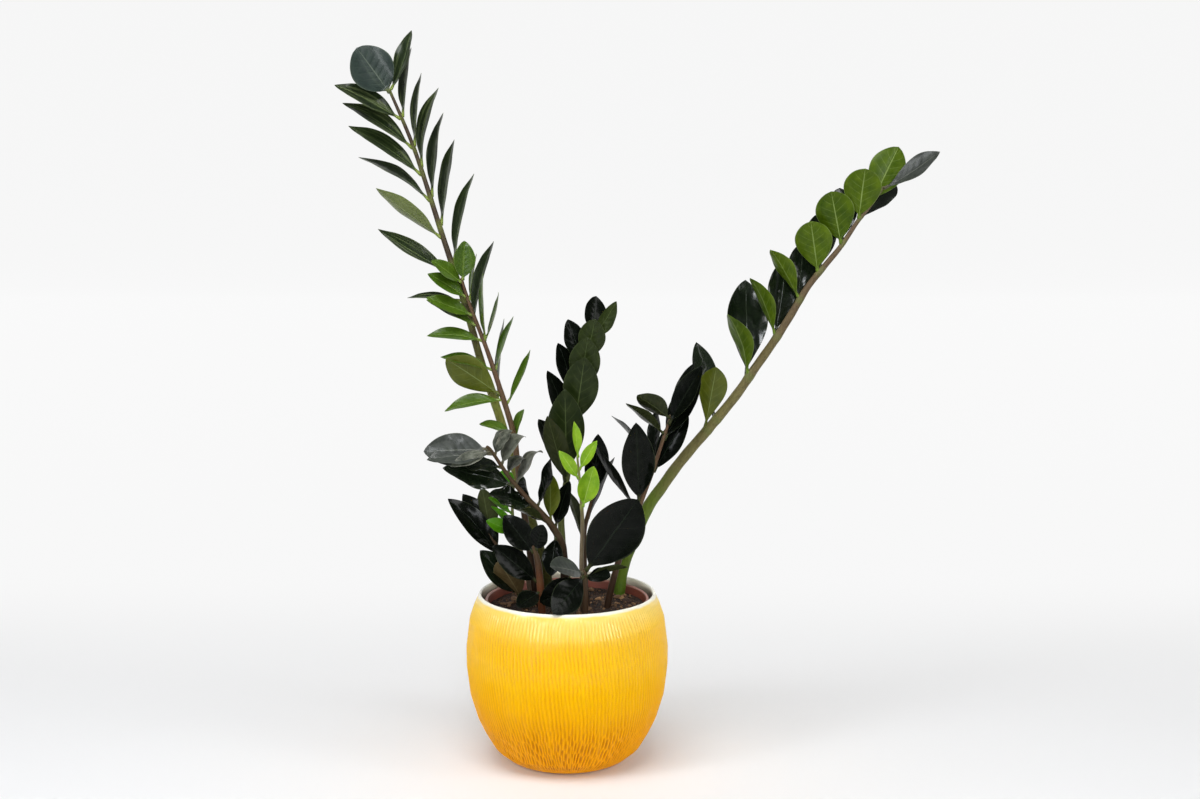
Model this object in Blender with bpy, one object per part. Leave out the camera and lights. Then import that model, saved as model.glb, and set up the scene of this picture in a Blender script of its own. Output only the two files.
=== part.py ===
"""A ZZ plant in a plastic nursery pot, standing in a round glazed cover pot.

Metres, +Z up. The origin is the centre of the cover pot's flat foot, and -Y is the front.
The table of fronds is in millimetres.
"""

import math
import random

import bmesh
import bpy
from mathutils import Matrix, Vector

MM = 0.001
GAP = 0.35 * MM  # clearance between pieces that touch on the real plant

# Cover pot: glazed ceramic, 205 mm across at its widest and 172 mm tall.
POT_SIDES = 56
POT_OUTSIDE_MM = (
    (54, 0), (62, 3.5), (74.6, 14), (84, 30), (91, 44.5), (98.5, 69), (102, 98),
    (102.2, 117), (98.5, 147), (94, 160), (90.2, 168.5), (89.2, 171.2), (87.8, 172),
)
POT_INSIDE_MM = (
    (86.4, 171.2), (85.7, 168.5), (89.6, 160), (94.2, 147), (97.8, 117), (97.6, 98),
    (94, 69), (86.5, 44.5), (79.5, 30), (69.5, 15), (62, 8),
)
POT_FLOOR_MM = 8.0

# Nursery pot: a 17 cm plastic pot with a rolled rim and six drain holes.
NURSERY_SIDES = 48
NURSERY_OUTSIDE_MM = ((60, 8.4), (77.6, 150), (82.6, 151.5), (83, 154), (83, 165), (82.4, 166))
NURSERY_INSIDE_MM = ((80.2, 166), (79.6, 165), (79.3, 154), (76, 150), (58.4, 10.2))
NURSERY_FLOOR_MM = (8.4, 10.2)
DRAIN_HOLES = 6
DRAIN_HOLE_RADIUS_MM = 4.0
DRAIN_HOLE_CIRCLE_MM = 42.0

# Soil: fills the nursery pot to 9 mm under its rim.
SOIL_SIDES = 30
SOIL_OUTSIDE_MM = ((79.0, 157), (78.8, 154.5), (75.5, 149.7), (58.0, 10.6))
SOIL_FLOOR_MM = 10.6
SOIL_TOP_MM = 157.0
SOIL_TOP_RINGS_MM = (66, 52, 38, 25, 12)
SOIL_BUMP_MM = 1.6

STEM_SIDES = 8
STEM_STEPS = 2  # spline steps between two stem points
SOCKET_EXTRA_MM = 0.4  # a stem's hole in the soil goes this much deeper than the stem

LEAF_THICKNESS_MM = 1.5
PETIOLE_RADIUS_MM = 1.1
LEAF_FOLD = 0.16  # how far a leaf's edges rise over its midrib, as a share of its half width
# A leaf's outline: share of its length, share of its half width.
LEAF_OUTLINE = ((0.2, 0.56), (0.36, 0.9), (0.53, 1.0), (0.7, 0.88), (0.86, 0.54), (1.0, 0.05))
PETIOLE_SHARE = 0.07

DARK = (0.012, 0.022, 0.014)
GREEN = (0.04, 0.11, 0.02)
LIME = (0.22, 0.45, 0.03)
YELLOW = (0.93, 0.55, 0.02)
TERRACOTTA = (0.3, 0.1, 0.06)
SOIL_BROWN = (0.07, 0.04, 0.025)

# Every frond: its colour, its stem from the soil up as (x, y, z, radius), whether its leaves are
# pieces of their own, and its leaves. A leaf is (name, height on the stem, tip's offset in x, y
# and z from there, width, roll, bend). Roll 0 turns the upper face to the front and 180 the
# underside; bend is how far the leaf arches, in degrees.
FRONDS = {
    "left_tall": {
        "colour": GREEN,
        "separate": False,
        "stem": (
            (-12, 24, 135, 5.6), (-21, 23, 180, 5.4), (-35, 20, 236, 5.0), (-51, 17, 290, 4.6),
            (-66, 14, 343, 4.3), (-85, 10, 404, 3.9), (-100, 6, 461, 3.3), (-122, 3, 532, 2.7),
            (-148, 1, 615, 2.0), (-171, -2, 672, 1.4),
        ),
        "leaves": (
            ("l1", 669, -31, -8, 42, 43, 12, 10), ("t", 671, 22, 0, 57, 25, -50, -24),
            ("l2", 644, -64, -6, 32, 26, 50, 14), ("l3", 616, -68, -4, 43, 25, 54, 28),
            ("l4", 590, -71, -5, 47, 25, 54, 25), ("l5", 565, -70, -3, 42, 24, 70, 36),
            ("l6", 529, -64, -8, 48, 25, 132, 2), ("l7", 495, -75, 2, 42, 25, 60, -16),
            ("l8", 467, -56, 4, 2, 20, 78, 14),
            ("r0", 645, 10, 4, 67, 24, -62, 8), ("r1", 617, 8, 6, 71, 22, -68, 10),
            ("r2", 597, 18, 6, 77, 25, -60, 36), ("r3", 568, 13, 6, 82, 25, -60, 15),
            ("r4", 540, 15, 5, 84, 25, -61, 9), ("r5", 502, 22, 5, 89, 25, -63, 18),
            ("r6", 442, 22, 20, 82, 24, -60, 20), ("r7", 362, 9, 9, 85, 22, -75, 8),
        ),
    },
    "left_short": {
        "colour": GREEN,
        "separate": False,
        "stem": (
            (-27, -4, 135, 3.6), (-34, -5, 190, 3.5), (-42, -6, 250, 3.3), (-49, -5, 305, 3.1),
            (-53, -4, 335, 3.0), (-66, -4, 380, 2.6), (-79, -4, 420, 2.2), (-94, -4, 460, 1.8),
            (-103, -4, 489, 1.3),
        ),
        "leaves": (
            ("t", 487, 3, -2, 39, 22, 20, 8), ("l1", 485, -30, -5, 22, 20, 52, 12),
            ("l2", 471, -38, -6, 23, 20, 48, 12), ("r1", 467, 8, 4, 46, 16, -74, 8),
            ("l3", 453, -46, -8, 18, 20, 50, 10), ("l4", 443, -50, -1, 25, 20, 64, 10),
            ("r2", 427, 0, -4, 67, 20, -74, 8), ("l5", 428, -55, -7, 5, 20, 58, 34),
            ("r3", 428, 15, 5, 47, 16, -78, -24), ("l6", 399, -52, -6, 13, 20, 64, 20),
            ("r4", 398, 19, 6, 53, 20, -72, 10), ("l7", 374, -54, -12, 37, 34, 168, 12),
            ("l8", 369, -58, -7, -11, 22, 62, 30), ("r5", 364, 25, 5, 54, 18, -68, -20),
            ("l9", 337, -33, -5, 8, 18, 68, 16), ("r6", 331, 10, 1, 28, 16, -60, 30),
        ),
    },
    "front_droop": {
        "colour": DARK,
        "separate": False,
        "stem": (
            (0, -21, 135, 4.6), (-1, -21, 175, 4.5), (-3, -22, 213, 4.2), (-6, -24, 230, 3.8),
            (-19, -30, 253, 3.1), (-38, -38, 276, 2.4), (-55, -45, 298, 2.0),
            (-71, -52, 324, 1.6), (-76, -55, 330, 1.4),
        ),
        "leaves": (
            ("l1", 328, -62, -12, -1, 33, 25, 14), ("l2", 323, -62, -20, -3, 26, 56, 16),
            ("l3", 326, -37, -22, -12, 14, 30, 20), ("l4", 309, -40, -8, 6, 24, 60, 14),
            ("l5", 290, -70, -12, 19, 30, 42, 16), ("l6", 268, -44, -6, 13, 28, 58, 16),
            ("l7", 252, -40, -4, 16, 26, 122, 10), ("l8", 236, -6, -14, -38, 22, 20, 10),
            ("r1", 321, 13, 5, 28, 20, -48, 14), ("r2", 311, 19, 3, 37, 22, -50, 12),
            ("r3", 302, 15, 10, 20, 20, -60, 14), ("r4", 291, 19, 3, 43, 22, -62, -26),
            ("r5", 274, -10, 13, 27, 20, -58, 12), ("r6", 266, 14, 5, 48, 20, -60, -24),
            ("r7", 250, 0, 4, 50, 22, 142, 10), ("r8", 243, 16, 9, 46, 22, -34, 12),
        ),
    },
    "middle_tall": {
        "colour": DARK,
        "separate": True,
        "stem": (
            (2, 20, 135, 4.2), (0, 20, 175, 4.0), (-5, 20, 215, 3.7), (-6, 22, 250, 3.4),
            (0, 24, 286, 3.0), (6, 26, 326, 2.6), (12, 27, 366, 2.2), (20, 28, 407, 1.8),
            (27, 28, 437, 1.4),
        ),
        "leaves": (
            ("front_1", 287, -2, -20, 91, 38, 176, 12), ("front_2", 340, 10, -21, 70, 36, 175, 10),
            ("front_3", 372, 8, -14, 57, 32, 172, 10), ("front_4", 404, 9, -12, 43, 28, 170, 10),
            ("front_5", 424, 26, -14, 41, 20, 140, 10),
            ("back_1", 281, -18, -32, 72, 25, 165, 10), ("back_2", 296, -31, 12, 47, 26, 45, 10),
            ("back_3", 332, -27, 9, 61, 26, 40, 10), ("back_4", 364, -21, 10, 57, 26, 35, 10),
            ("back_5", 396, -17, 9, 49, 26, 30, 10), ("back_6", 430, 4, 15, 38, 26, 28, 10),
        ),
    },
    "lime_shoot": {
        "colour": LIME,
        "separate": True,
        "stem": (
            (17, -26, 135, 2.8), (16, -28, 175, 2.6), (15, -30, 212, 2.3), (16, -31, 247, 2.0),
            (15, -31, 270, 1.7), (13, -31, 296, 1.3), (11, -31, 316, 1.0),
        ),
        "leaves": (
            ("1", 315, -3, 0, 36, 10, 30, 6), ("2", 294, -20, -7, 29, 13, 20, 10),
            ("3", 303, 18, -6, 30, 12, -20, 10), ("4", 266, 12, -9, 42, 21, 0, 8),
        ),
    },
    "centre_back": {
        "colour": DARK,
        "separate": True,
        "stem": (
            (22, 3, 135, 3.2), (18, 4, 185, 3.0), (17, 5, 228, 2.6), (21, 5, 250, 2.0),
            (27, 5, 272, 1.4),
        ),
        "leaves": (
            ("1", 226, -15, -5, 50, 18, 130, 8), ("2", 270, 5, -8, 64, 26, 20, 10),
            ("3", 246, 28, 18, 60, 24, -72, 8),
        ),
    },
    "right_middle": {
        "colour": DARK,
        "separate": True,
        "stem": (
            (38, -4, 135, 3.6), (43, -4, 170, 3.4), (56, -4, 218, 3.0), (73, -4, 262, 2.6),
            (86, -4, 297, 2.1), (97, -3, 331, 1.7), (104, -2, 353, 1.3),
        ),
        "leaves": (
            ("1", 264, -5, -16, 84, 34, 10, 8), ("2", 259, -45, -12, 68, 24, 74, -16),
            ("3", 296, 36, 5, 56, 26, -32, 10), ("4", 303, -43, 3, 49, 22, 80, 8),
            ("5", 306, 1, 36, 49, 18, -45, 8), ("6", 328, 38, 14, 60, 26, -34, 8),
            ("7", 334, -39, -8, 32, 24, 120, 8), ("8", 344, 33, -19, 61, 24, -34, 8),
            ("9", 350, -33, -14, 25, 25, 146, 14), ("10", 352, 24, 0, 54, 18, -58, 10),
        ),
    },
    "right_tall": {
        "colour": GREEN,
        "separate": True,
        "stem": (
            (50, 38, 135, 5.6), (54, 41, 165, 5.8), (58, 42, 190, 6.2), (69, 40, 221, 6.4),
            (83, 38, 252, 6.2), (97, 35, 273, 5.8), (111, 32, 294, 5.5), (127, 29, 315, 5.3),
            (144, 25, 336, 5.1), (170, 21, 369, 4.8), (188, 18, 396, 4.5), (206, 15, 423, 4.2),
            (223, 12, 451, 3.8), (239, 10, 479, 3.3), (256, 8, 501, 2.9), (271, 6, 520, 2.5),
            (287, 4, 545, 2.1), (300, 3, 562, 1.7), (311, 2, 578, 1.3),
        ),
        "leaves": (
            ("front_1", 334, 7, -18, 66, 29, 172, 12), ("front_2", 390, -25, -28, 64, 30, 128, 38),
            ("front_3", 430, -29, -12, 59, 26, 124, 26), ("front_4", 468, -32, -12, 49, 26, 126, 16),
            ("front_5", 494, -11, -14, 51, 37, 168, 10), ("front_6", 522, -14, -14, 52, 38, 170, 10),
            ("front_7", 547, 2, -16, 49, 37, 174, 10), ("front_8", 564, 25, 8, 53, 36, 178, 10),
            ("tip", 577, 50, -24, 35, 24, -48, -16),
            ("back_1", 345, -20, 20, 76, 28, 30, 10), ("back_2", 388, -2, 30, 96, 43, 16, 10),
            ("back_3", 430, 9, 16, 77, 36, 20, 10), ("back_4", 466, 5, 16, 56, 32, 16, 10),
            ("back_5", 497, -1, 15, 55, 32, 15, 10), ("back_6", 524, -3, 13, 53, 32, 15, 10),
            ("back_7", 548, 38, 24, 32, 28, -45, 8),
        ),
    },
    "left_low": {
        "colour": DARK,
        "separate": False,
        "stem": (
            (-36, -9, 135, 3.6), (-46, -9, 172, 3.3), (-60, -9, 205, 2.6), (-79, -9, 235, 1.5),
        ),
        "leaves": (
            ("1", 209, -53, -5, 66, 25, 30, 8), ("2", 216, -38, 12, 56, 28, 30, 10),
            ("3", 232, -8, 9, 47, 24, 160, 8), ("4", 172, -40, -14, 48, 28, 30, 12),
            ("5", 170, -22, -26, 42, 29, 165, 14),
        ),
    },
    "left_upright": {
        "colour": DARK,
        "separate": False,
        "stem": (
            (-23, -31, 135, 3.8), (-25, -31, 172, 3.6), (-28, -31, 208, 3.4), (-33, -31, 226, 1.6),
        ),
        "leaves": (
            ("1", 220, -30, -4, 38, 27, 18, 10), ("2", 190, -46, -6, 38, 27, 30, 10),
            ("3", 180, -22, -28, -8, 20, 40, 10), ("4", 222, 9, -6, 27, 20, -24, 8),
        ),
    },
    "lime_left": {
        "colour": LIME,
        "separate": False,
        "stem": (
            (-33, 9, 135, 2.4), (-41, 5, 190, 2.2), (-51, -11, 236, 1.9), (-54, -14, 258, 1.5),
            (-52, -15, 286, 1.0),
        ),
        "leaves": (
            ("1", 256, -23, -11, 18, 14, 60, 8), ("2", 238, -24, 3, 24, 12, 65, 8),
            ("3", 236, -29, -6, 13, 15, 25, 8), ("4", 285, -13, -2, 14, 13, 20, 8),
        ),
    },
    "front_low": {
        "colour": DARK,
        "separate": False,
        "stem": (
            (18, -47, 135, 3.2), (19, -47, 175, 3.0), (18, -47, 206, 2.0),
        ),
        "leaves": (
            ("1", 205, 52, -8, 73, 54, 10, 8), ("2", 203, -33, -18, 11, 30, 70, 14),
            ("3", 200, 25, -12, 2, 22, -64, 12), ("4", 198, 42, 8, 9, 24, -118, 10),
            ("5", 200, -30, -45, -26, 31, 4, 14), ("6", 196, -44, 0, -23, 28, 6, 10),
        ),
    },
}


def clear_scene():
    """Remove every object, mesh and material that the file opens with."""
    for item in list(bpy.data.objects):
        bpy.data.objects.remove(item, do_unlink=True)
    for mesh in list(bpy.data.meshes):
        bpy.data.meshes.remove(mesh)


def make_material(name, colour, roughness):
    """A plain Principled material in one colour."""
    material = bpy.data.materials.new(name)
    material.use_nodes = True
    shader = material.node_tree.nodes["Principled BSDF"]
    shader.inputs["Base Color"].default_value = (*colour, 1.0)
    shader.inputs["Roughness"].default_value = roughness
    shader.inputs["Metallic"].default_value = 0.0
    return material


def make_object(name, rings, material, place=None):
    """One closed solid from rings of points; a ring of one point is a pole."""
    mesh = bpy.data.meshes.new(name)
    work = bmesh.new()
    loops = [[work.verts.new(point) for point in ring] for ring in rings]
    for low, high in zip(loops, loops[1:]):
        count = max(len(low), len(high))
        for i in range(count):
            j = (i + 1) % count
            if len(low) == 1:
                work.faces.new((low[0], high[j], high[i]))
            elif len(high) == 1:
                work.faces.new((low[i], low[j], high[0]))
            else:
                work.faces.new((low[i], low[j], high[j], high[i]))
    if len(loops[0]) > 1:
        work.faces.new(reversed(loops[0]))
    if len(loops[-1]) > 1:
        work.faces.new(loops[-1])
    bmesh.ops.recalc_face_normals(work, faces=work.faces)
    work.to_mesh(mesh)
    work.free()
    mesh.shade_smooth()
    mesh.set_sharp_from_angle(angle=math.radians(40))
    mesh.materials.append(material)
    item = bpy.data.objects.new(name, mesh)
    if place is not None:
        item.matrix_world = place
    bpy.context.scene.collection.objects.link(item)
    return item


def hide_helper(item, group):
    """Keep a cutter or a guide out of the model, in the collection that a Boolean reads."""
    item.hide_render = True
    item.display_type = "WIRE"
    group.objects.link(item)


def make_group(name):
    group = bpy.data.collections.new(name)
    bpy.context.scene.collection.children.link(group)
    return group


def add_boolean(item, group, operation):
    """Join or cut an object with everything in a collection."""
    modifier = item.modifiers.new(operation.lower(), "BOOLEAN")
    modifier.operation = operation
    modifier.operand_type = "COLLECTION"
    modifier.collection = group
    modifier.solver = "EXACT"


def circle(radius_mm, z_mm, sides, bump=None):
    """A ring of points round the Z axis; bump gives each one a height of its own."""
    points = []
    for i in range(sides):
        angle = 2 * math.pi * i / sides
        lift = bump() if bump else 0.0
        points.append(
            (
                radius_mm * MM * math.cos(angle),
                radius_mm * MM * math.sin(angle),
                (z_mm + lift) * MM,
            )
        )
    return points


def make_cover_pot():
    """The turned pot: a thick wall, a rounded lip and a flat foot."""
    rings = [[(0, 0, 0)]]
    for radius, z in POT_OUTSIDE_MM + POT_INSIDE_MM:
        rings.append(circle(radius, z, POT_SIDES))
    rings.append([(0, 0, POT_FLOOR_MM * MM)])
    return make_object("pot", rings, make_material("glazed_yellow", YELLOW, 0.2))


def make_nursery_pot():
    """The thin plastic pot inside, with drain holes through its floor."""
    bottom, floor = NURSERY_FLOOR_MM
    rings = [[(0, 0, bottom * MM)]]
    for radius, z in NURSERY_OUTSIDE_MM + NURSERY_INSIDE_MM:
        rings.append(circle(radius, z, NURSERY_SIDES))
    rings.append([(0, 0, floor * MM)])
    pot = make_object("nursery_pot", rings, make_material("terracotta_plastic", TERRACOTTA, 0.5))
    drains = make_group("drain_holes")
    for i in range(DRAIN_HOLES):
        angle = 2 * math.pi * (i + 0.5) / DRAIN_HOLES
        centre = Vector((math.cos(angle), math.sin(angle), 0)) * DRAIN_HOLE_CIRCLE_MM * MM
        rings = [circle(DRAIN_HOLE_RADIUS_MM, z, 12) for z in (bottom - 2, floor + 2)]
        drain = make_object(f"drain_{i}", rings, pot.active_material, Matrix.Translation(centre))
        hide_helper(drain, drains)
    add_boolean(pot, drains, "DIFFERENCE")
    return pot


def make_soil():
    """The potting soil, with an uneven top; the sockets for the stems are cut later."""
    chance = random.Random(7)

    def bump():
        return chance.uniform(-SOIL_BUMP_MM, SOIL_BUMP_MM)

    rings = [[(0, 0, SOIL_FLOOR_MM * MM)]]
    for radius, z in reversed(SOIL_OUTSIDE_MM):
        rings.append(circle(radius, z, SOIL_SIDES))
    for radius in SOIL_TOP_RINGS_MM:
        rings.append(circle(radius, SOIL_TOP_MM, SOIL_SIDES, bump))
    rings.append([(0, 0, SOIL_TOP_MM * MM)])
    return make_object("soil", rings, make_material("potting_soil", SOIL_BROWN, 0.95))


def spline(points, steps):
    """A smooth Catmull-Rom line of (x, y, z, radius) through the given points."""
    line = []
    last = len(points) - 1
    for i in range(last):
        p0, p1 = points[max(i - 1, 0)], points[i]
        p2, p3 = points[i + 1], points[min(i + 2, last)]
        for step in range(steps):
            t = step / steps
            line.append(
                tuple(
                    0.5 * (2 * b + (c - a) * t + (2 * a - 5 * b + 4 * c - d) * t * t
                           + (3 * b - a - 3 * c + d) * t ** 3)
                    for a, b, c, d in zip(p0, p1, p2, p3)
                )
            )
    line.append(tuple(float(value) for value in points[last]))
    return line


def tangents(line):
    """Unit directions along a line, averaged at its inner points."""
    spots = [Vector(point[:3]) for point in line]
    last = len(spots) - 1
    return [(spots[min(i + 1, last)] - spots[max(i - 1, 0)]).normalized() for i in range(last + 1)]


def make_stem(name, line, material, extra_mm=0.0):
    """A round tapering stem along a line; extra_mm makes the cutter for its socket."""
    rings = []
    ways = tangents(line)
    for i, ((x, y, z, radius), way) in enumerate(zip(line, ways)):
        across = way.cross(Vector((0, 1, 0))).normalized()
        other = across.cross(way)
        centre = Vector((x, y, z))
        if extra_mm and i == 0:
            centre -= way * SOCKET_EXTRA_MM
        ring = []
        for k in range(STEM_SIDES):
            angle = 2 * math.pi * k / STEM_SIDES
            spoke = across * math.cos(angle) + other * math.sin(angle)
            ring.append((centre + spoke * (radius + extra_mm)) * MM)
        rings.append(ring)
    return make_object(name, rings, material)


def spot_on_stem(line, height):
    """Where a stem passes a height: its centre, direction and radius."""
    ways = tangents(line)
    for i in range(len(line) - 1):
        if line[i + 1][2] >= height or i == len(line) - 2:
            low, high = line[i], line[i + 1]
            share = min(max((height - low[2]) / (high[2] - low[2]), 0.0), 1.0)
            centre = Vector(low[:3]).lerp(Vector(high[:3]), share)
            way = ways[i].lerp(ways[i + 1], share).normalized()
            return centre, way, low[3] + (high[3] - low[3]) * share
    return None


def leaf_place(line, row, separate):
    """A leaf's length and the matrix that puts its foot on the stem."""
    _, height, dx, dy, dz, _, roll, _ = row
    centre, way, radius = spot_on_stem(line, height)
    tip = centre + Vector((dx, dy, dz))
    aim = (tip - centre).normalized()
    along = aim.dot(way)
    outward = (aim - way * along).normalized()
    if separate:
        reach = radius + GAP / MM + PETIOLE_RADIUS_MM * abs(along)
        foot = centre + outward * reach
    else:
        foot = centre + outward * radius * 0.35
    aim = tip - foot
    length = aim.length
    aim.normalize()
    front = Vector((0, -1, 0))
    front = (front - aim * front.dot(aim)).normalized()
    angle = math.radians(roll)
    normal = front * math.cos(angle) + aim.cross(front) * math.sin(angle)
    side = aim.cross(normal)
    turn = Matrix((side, aim, normal)).transposed().to_4x4()
    return length, Matrix.Translation(foot * MM) @ turn


def make_leaf(name, line, row, material, separate):
    """A leaf as a closed solid: a short petiole, then a blade folded along its midrib."""
    length, place = leaf_place(line, row, separate)
    half_width = row[5] / 2
    rise = math.tan(math.radians(row[7]) / 4) / 2 * length
    sections = [(0.0, PETIOLE_RADIUS_MM, PETIOLE_RADIUS_MM, 0.0)]
    sections.append((PETIOLE_SHARE, PETIOLE_RADIUS_MM, PETIOLE_RADIUS_MM * 0.9, 0.0))
    for share, width in LEAF_OUTLINE:
        thickness = LEAF_THICKNESS_MM / 2 * (1.0 - 0.6 * share ** 3)
        sections.append((share, half_width * width, thickness, LEAF_FOLD * half_width * width))
    rings = []
    for share, half, thick, lift in sections:
        y = share * length
        arch = rise * 4 * share * (1 - share)
        ring = ((half, y, arch + lift), (0, y, arch + thick), (-half, y, arch + lift),
                (0, y, arch - thick))
        rings.append([Vector(point) * MM for point in ring])
    return make_object(name, rings, material, place)


def make_frond(name, frond, sockets):
    """A stem with its leaves, either joined to it or as pieces of their own."""
    line = spline(frond["stem"], STEM_STEPS)
    material = make_material(f"{name}_stem", GREEN, 0.45)
    leaf_material = make_material(f"{name}_leaf", frond["colour"], 0.25)
    stem = make_stem(f"stem_{name}", line, material)
    socket = make_stem(f"socket_{name}", line, material, GAP / MM)
    hide_helper(socket, sockets)
    if frond["separate"]:
        for row in frond["leaves"]:
            make_leaf(f"leaf_{name}_{row[0]}", line, row, leaf_material.copy(), True)
        return
    blades = make_group(f"{name}_blades")
    for row in frond["leaves"]:
        hide_helper(make_leaf(f"blade_{name}_{row[0]}", line, row, leaf_material, False), blades)
    add_boolean(stem, blades, "UNION")


def build():
    clear_scene()
    make_cover_pot()
    make_nursery_pot()
    soil = make_soil()
    sockets = make_group("stem_sockets")
    for name, frond in FRONDS.items():
        make_frond(name, frond, sockets)
    add_boolean(soil, sockets, "DIFFERENCE")


build()
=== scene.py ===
import math
import random
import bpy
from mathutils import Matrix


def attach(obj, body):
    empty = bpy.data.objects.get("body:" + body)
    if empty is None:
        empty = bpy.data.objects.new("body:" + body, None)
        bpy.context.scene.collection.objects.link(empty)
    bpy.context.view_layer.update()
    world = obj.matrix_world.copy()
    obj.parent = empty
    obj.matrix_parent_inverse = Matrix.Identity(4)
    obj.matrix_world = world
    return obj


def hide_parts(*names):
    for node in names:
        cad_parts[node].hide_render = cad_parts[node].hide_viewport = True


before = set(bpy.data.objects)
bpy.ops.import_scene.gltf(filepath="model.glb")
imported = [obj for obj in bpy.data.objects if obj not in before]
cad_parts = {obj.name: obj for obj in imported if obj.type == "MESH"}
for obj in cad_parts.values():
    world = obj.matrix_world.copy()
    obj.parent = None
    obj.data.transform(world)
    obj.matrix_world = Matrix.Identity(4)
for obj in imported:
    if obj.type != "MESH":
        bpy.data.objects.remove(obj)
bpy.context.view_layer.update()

import zlib
from collections import namedtuple
from math import cos, pi, radians, sin

import bmesh
import bpy
import numpy as np
from mathutils import Matrix, Vector, noise

# A ZZ plant in a nursery pot, standing in a round glazed cover pot with carved grooves.
# Metres, +Z up, front at -Y. The plant's table and the pots' profiles are in millimetres.

MM = 0.001

# Cover pot ----
POT_OUTSIDE_MM = (
    (54, 0), (62, 3.5), (74.6, 14), (84, 30), (91, 44.5), (98.5, 69), (102, 98),
    (102.2, 117), (98.5, 147), (94, 160), (90.2, 168.5), (89.2, 171.2), (87.8, 172),
)
POT_INSIDE_MM = (
    (86.4, 171.2), (85.7, 168.5), (89.6, 160), (94.2, 147), (97.8, 117), (97.6, 98),
    (94, 69), (86.5, 44.5), (79.5, 30), (69.5, 15), (62, 8),
)
POT_FLOOR_MM = 8.0
GROOVES = 164
GROOVE_POINTS = 6
GROOVE_DEPTH_MM = 1.05
GROOVE_RINGS = 92
GROOVES_FROM_MM, GROOVES_TO_MM = 5.0, 168.0
STROKES_BELOW_MM = 66
STROKE_MM = 14
INSIDE_RINGS = 40
PLAIN_SIDES = 192

# Nursery pot and soil ----
NURSERY_OUTSIDE_MM = (
    (0, 8.4), (60, 8.4), (61.2, 9.2), (77.6, 149.5), (78.2, 150.6), (82.2, 151.2), (82.9, 152),
    (83, 154), (83, 164), (82.8, 165.3), (82.2, 166),
)
NURSERY_INSIDE_MM = (
    (81.0, 166), (80.2, 165.5), (79.7, 164.4), (79.4, 154), (78.6, 151.6), (76.1, 149.4),
    (59.6, 11.4), (58.4, 10.2), (0, 10.2),
)
SOIL_TOP_MM = 157.0
SOIL_RADIUS_MM = 78.9
SOIL_BODY_MM = ((58.0, 10.6), (75.4, 149.4), (78.6, 152.2))
SOIL_RINGS, SOIL_SIDES = 44, 132

# Stage ----
# The floor turns grey between two places in front, and into the lit backdrop behind.
FLOOR_GREY_FROM_TO = (-0.30, -1.0)
BACKDROP_FROM_TO = (-0.15, 0.75)
BACKDROP_LIGHT = 0.925
WORLD_LIGHT = 0.12
# Soft lights: place, what they point at, width and height, watts, and a colour if not white.
LIGHTS = {
    "overhead": ((-0.2, -0.9, 2.3), (0.05, 0, 0.3), (1.7, 1.0), 38),
    "front_soft": ((0.35, -3.2, 1.15), (0, 0, 0.25), (0.4, 1.7), 34, (0.94, 0.97, 1.0)),
    "left_soft": ((-2.0, -1.3, 1.5), (0, 0, 0.35), (0.6, 1.2), 20, (0.92, 0.95, 1.0)),
    "right_soft": ((2.1, -1.0, 1.4), (0, 0, 0.35), (0.8, 1.5), 16),
}
CAMERA_AT = (0.0333, -1.643, 0.598)
CAMERA_DOWN_DEG = 7.96
LENS_MM, SENSOR_MM = 50.0, 36.0

# Plant ----
ROWS, COLUMNS = 38, 17  # points along and across one face of a leaf
GRID = ROWS * COLUMNS
LEAF_TIP_MM = 0.12
LEAF_FOOT_SHARE = 0.7  # how far out in the stem a leaf's foot lies, as a share of its radius
PETIOLE_SHARE = 0.075
SIDE_VEINS = 8
STEM_SIDES = 22

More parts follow.
